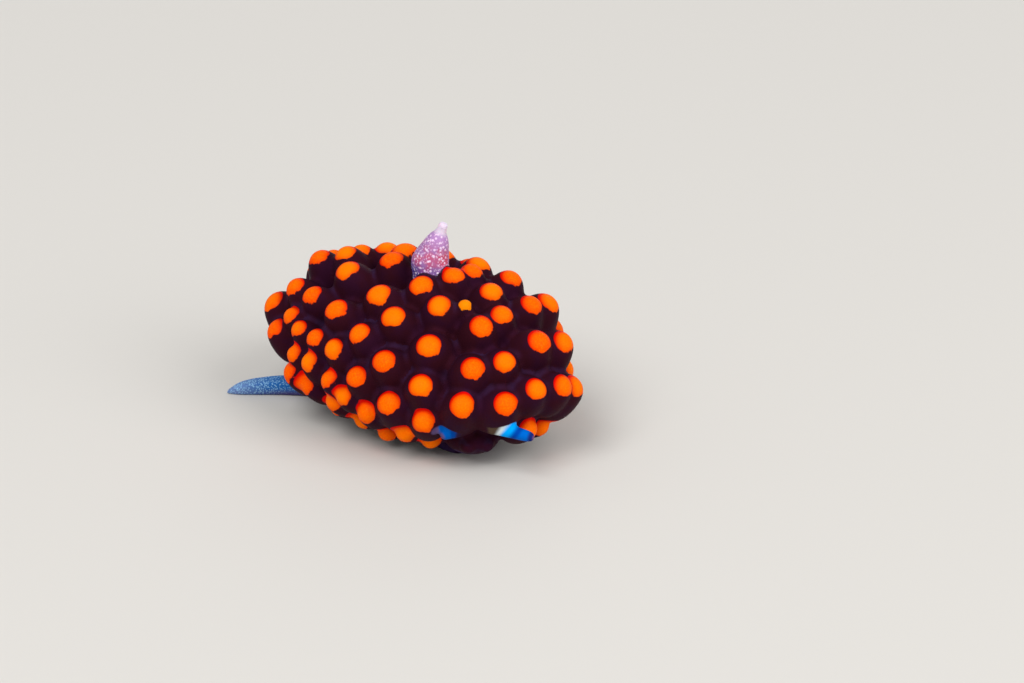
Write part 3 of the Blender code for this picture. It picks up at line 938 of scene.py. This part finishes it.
left = skin_finish.field("left_feeler")
slant = left - (height - BANDS_LEVEL) * BANDS_SLANT + (skin_finish.noise(place, 2.0) - 0.5) * 0.10
feeler = mix(step(slant, 0.34, 0.42), colour(84, 66, 52), colour(206, 218, 222))
feeler = mix(step(slant, 0.43, 0.52), feeler, colour(0, 160, 250))
feeler = mix(step(slant, 0.56, 0.68), feeler, colour(0, 66, 164))
feeler = mix(step(slant, 0.70, 0.78), feeler, colour(0, 100, 200))
feeler = mix(step(left, 0.88, 0.95), feeler, colour(24, 40, 112))
feeler = mix(step(left, 0.97, 1.0), feeler, colour(140, 92, 132))
on_left = step(left, 0.20, 0.28) * (1 - step(skin_finish.field("left_off"), *FEELER_EDGE))
painted = mix(on_left, painted, feeler)

right_along = skin_finish.field("right_feeler")
slant = right_along + (skin_finish.noise(place, 2.5) - 0.5) * 0.16
feeler = mix(step(slant, 0.38, 0.52), colour(40, 24, 60), colour(0, 64, 150))
feeler = mix(step(slant, 0.60, 0.70), feeler, colour(0, 84, 170))
feeler = mix(step(slant, 0.86, 0.98), feeler, colour(92, 72, 112))
on_right = step(right_along, 0.2, 0.4) * (1 - step(skin_finish.field("right_off"), *FEELER_EDGE))
painted = mix(on_right, painted, feeler)

foot_blend = skin_finish.field("foot") * step(skin_finish.noise(place, 3.0), 0.3, 0.6) * 0.8
painted = mix(foot_blend * (1 - on_tail), painted, colour(58, 42, 84))
skin_finish.set(Base_Color=painted, Specular_Tint=colour(120, 104, 220))
skin_finish.bump(grain * 0.6 + on_cap * 1.2, 1.2e-5, 0.6)
skin.data.materials.clear()
skin.data.materials.append(skin_finish.material)
print("nodes in the skin's finish:", len(skin_finish.tree.nodes))

# %% [markdown]
# ## The pale ceras's finish
#
# Its wall is thin and milky: light goes in and comes out pink, and it is covered with fine white
# grains. A little subsurface light gives the milkiness. Faces of the pale ceras get this second
# material; its lower edge is hidden between the dark bulbs.

# %% Finish the pale ceras
pale_finish = Finish("pale_ceras", roughness=0.45, specular=0.15)
place = pale_finish.place()
depth = pale_finish.field("pale")
milk = pale_finish.mix(pale_finish.step(pale_finish.noise(place, 2.2), 0.40, 0.62),
                       colour(164, 116, 172), colour(190, 84, 116))
milk = pale_finish.mix(1 - pale_finish.step(depth, 0.4, 1.0), milk, colour(178, 134, 190))
milk = pale_finish.mix(pale_finish.step(depth, 1.2, 1.8), milk, colour(82, 68, 150))
dots = 1 - pale_finish.step(pale_finish.spots(place, 8.0), 0.20, 0.42)
fine_dots = 1 - pale_finish.step(pale_finish.spots(place, 13.0), 0.20, 0.46)
milk = pale_finish.mix((dots + fine_dots * 0.6) * 0.85, milk, colour(238, 212, 240))
milk = pale_finish.mix(1 - pale_finish.step(depth, 0.26, 0.44), milk, colour(222, 206, 226))
milk = pale_finish.mix(pale_finish.step(pale_finish.field("pale_off"), 0.015, 0.045), milk,
                       colour(44, 14, 40))
milk = pale_finish.mix(pale_finish.step(depth, 2.0, 2.25), milk, colour(44, 12, 30))
pale_finish.set(Base_Color=milk, Subsurface_Weight=0.25, Subsurface_Scale=0.0003,
                Subsurface_Radius=(1.0, 0.5, 0.6))
pale_finish.bump(dots, 1.2e-5, 0.7)
skin.data.materials.append(pale_finish.material)

pale_values = np.empty(count, dtype=np.float32)
skin.data.attributes["pale"].data.foreach_get("value", pale_values)
for face in skin.data.polygons:
    face.material_index = int(all(pale_values[vert] < FAR for vert in face.vertices))
    face.use_smooth = True
to_metres(skin)
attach(skin, "root")
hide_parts("torso", "head", "foot", "tail", "rhinophore_left", "rhinophore_right",
            "ceras_pale")

# %% [markdown]
# ## The eyes
#
# Behind each feeler a small black eye sits in the skin. It isn't a ball but a bead with a slightly
# domed lens. One is modelled, and the other is its copy.

# %% Model the eyes
EYE_PLACE = Vector((-0.16, 0.40, 0.47))
EYE_RADIUS = 0.11
LENS_FROM = 0.75            # the lens begins at this share of the radius
LENS_HEIGHT = 0.012
LENS_DOMING = 0.8
eye_finish = Finish("eye_black", roughness=0.12, specular=0.6)
place = eye_finish.place()
eye_finish.set(Base_Color=eye_finish.mix(eye_finish.noise(place, 30.0), colour(6, 6, 9),
                                         colour(22, 18, 26)))
for side, word in ((1, "left"), (-1, "right")):
    centre = head_frame @ (EYE_PLACE * Vector((1, side, 1)))
    bead = ball("bead_" + word, Vector((0, 0, 0)), Vector((EYE_RADIUS,) * 3), 0, 24, 16)
    pick(bead)
    bpy.ops.object.mode_set(mode="EDIT")
    bpy.ops.mesh.select_all(action="DESELECT")
    bpy.ops.object.mode_set(mode="OBJECT")
    for face in bead.data.polygons:
        face.select = face.center.z > EYE_RADIUS * LENS_FROM
    bpy.ops.object.mode_set(mode="EDIT")
    bpy.ops.mesh.select_mode(type="FACE")
    bpy.ops.mesh.extrude_region_move(TRANSFORM_OT_translate={"value": (0, 0, LENS_HEIGHT)})
    bpy.ops.transform.resize(value=(LENS_DOMING, LENS_DOMING, 1),
                             center_override=(0, 0, EYE_RADIUS))
    bpy.ops.mesh.select_mode(type="VERT")
    bpy.ops.object.mode_set(mode="OBJECT")
    apply_modifier(bead, "SUBSURF", levels=1, render_levels=1)
    outward = (centre - HEAD_CENTRE).normalized()
    stand_on_line(bead, centre - outward, centre)
    bead.data.materials.append(eye_finish.material)
    for face in bead.data.polygons:
        face.use_smooth = True
    to_metres(bead)
    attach(bead, "root")
    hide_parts("eye_" + word)
print("eye beads, in mm across:", 2 * EYE_RADIUS)

# %% [markdown]
# ## The floor and the light
#
# The slug is shown on a plain pale floor under soft studio light: a large lamp from the camera's
# left as the main light, a weaker one from the right, and a faint one from behind that keeps the
# dark bulbs' upper edges clear of each other.

# %% Build the studio
FLOOR_METRES = 4.0
SKY_STRENGTH = 0.42
bpy.ops.object.select_all(action="DESELECT")
bpy.ops.mesh.primitive_plane_add(size=FLOOR_METRES)
floor = bpy.context.object
floor.name = "floor"
floor_finish = Finish("pale_floor", roughness=0.8, specular=0.2)
floor_finish.set(Base_Color=colour(214, 211, 206))
floor.data.materials.append(floor_finish.material)
floor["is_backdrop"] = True

world = bpy.data.worlds.new("studio")
bpy.context.scene.world = world
world.use_nodes = True
world.node_tree.nodes["Background"].inputs["Color"].default_value = (1, 1, 1, 1)
world.node_tree.nodes["Background"].inputs["Strength"].default_value = SKY_STRENGTH


def lamp(name, sideways, upwards, backwards, size, power):
    """A square lamp, placed from the slug in camera directions, in millimetres."""
    place = right * sideways + Vector((0, 0, upwards)) + back * backwards
    toward = (aim - place).normalized()
    bpy.ops.object.light_add(type="AREA", location=place * MM,
                             rotation=toward.to_track_quat("-Z", "Y").to_euler())
    light = bpy.context.object
    light.name = name
    light.data.size = size * MM
    light.data.energy = power


lamp("key", -140, 230, 260, 240, 1.15)
lamp("fill", 240, 140, 200, 280, 0.75)
lamp("rim", 60, 220, -320, 200, 0.10)
bpy.context.scene.view_settings.view_transform = "Standard"

# %% [markdown]
# ## Handing over
#
# The box of the dressed slug is written next to the box of the solids, so that the two can be
# compared: the skin may hug the solids but not outgrow them.

# %% Print both sizes and finish
size_rows = [[list(corner) for corner in box] for box in (cad_box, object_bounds())]
print("sizes, in mm:", [[round((high - low) * 1000, 2) for low, high in zip(*box)]
                        for box in size_rows])
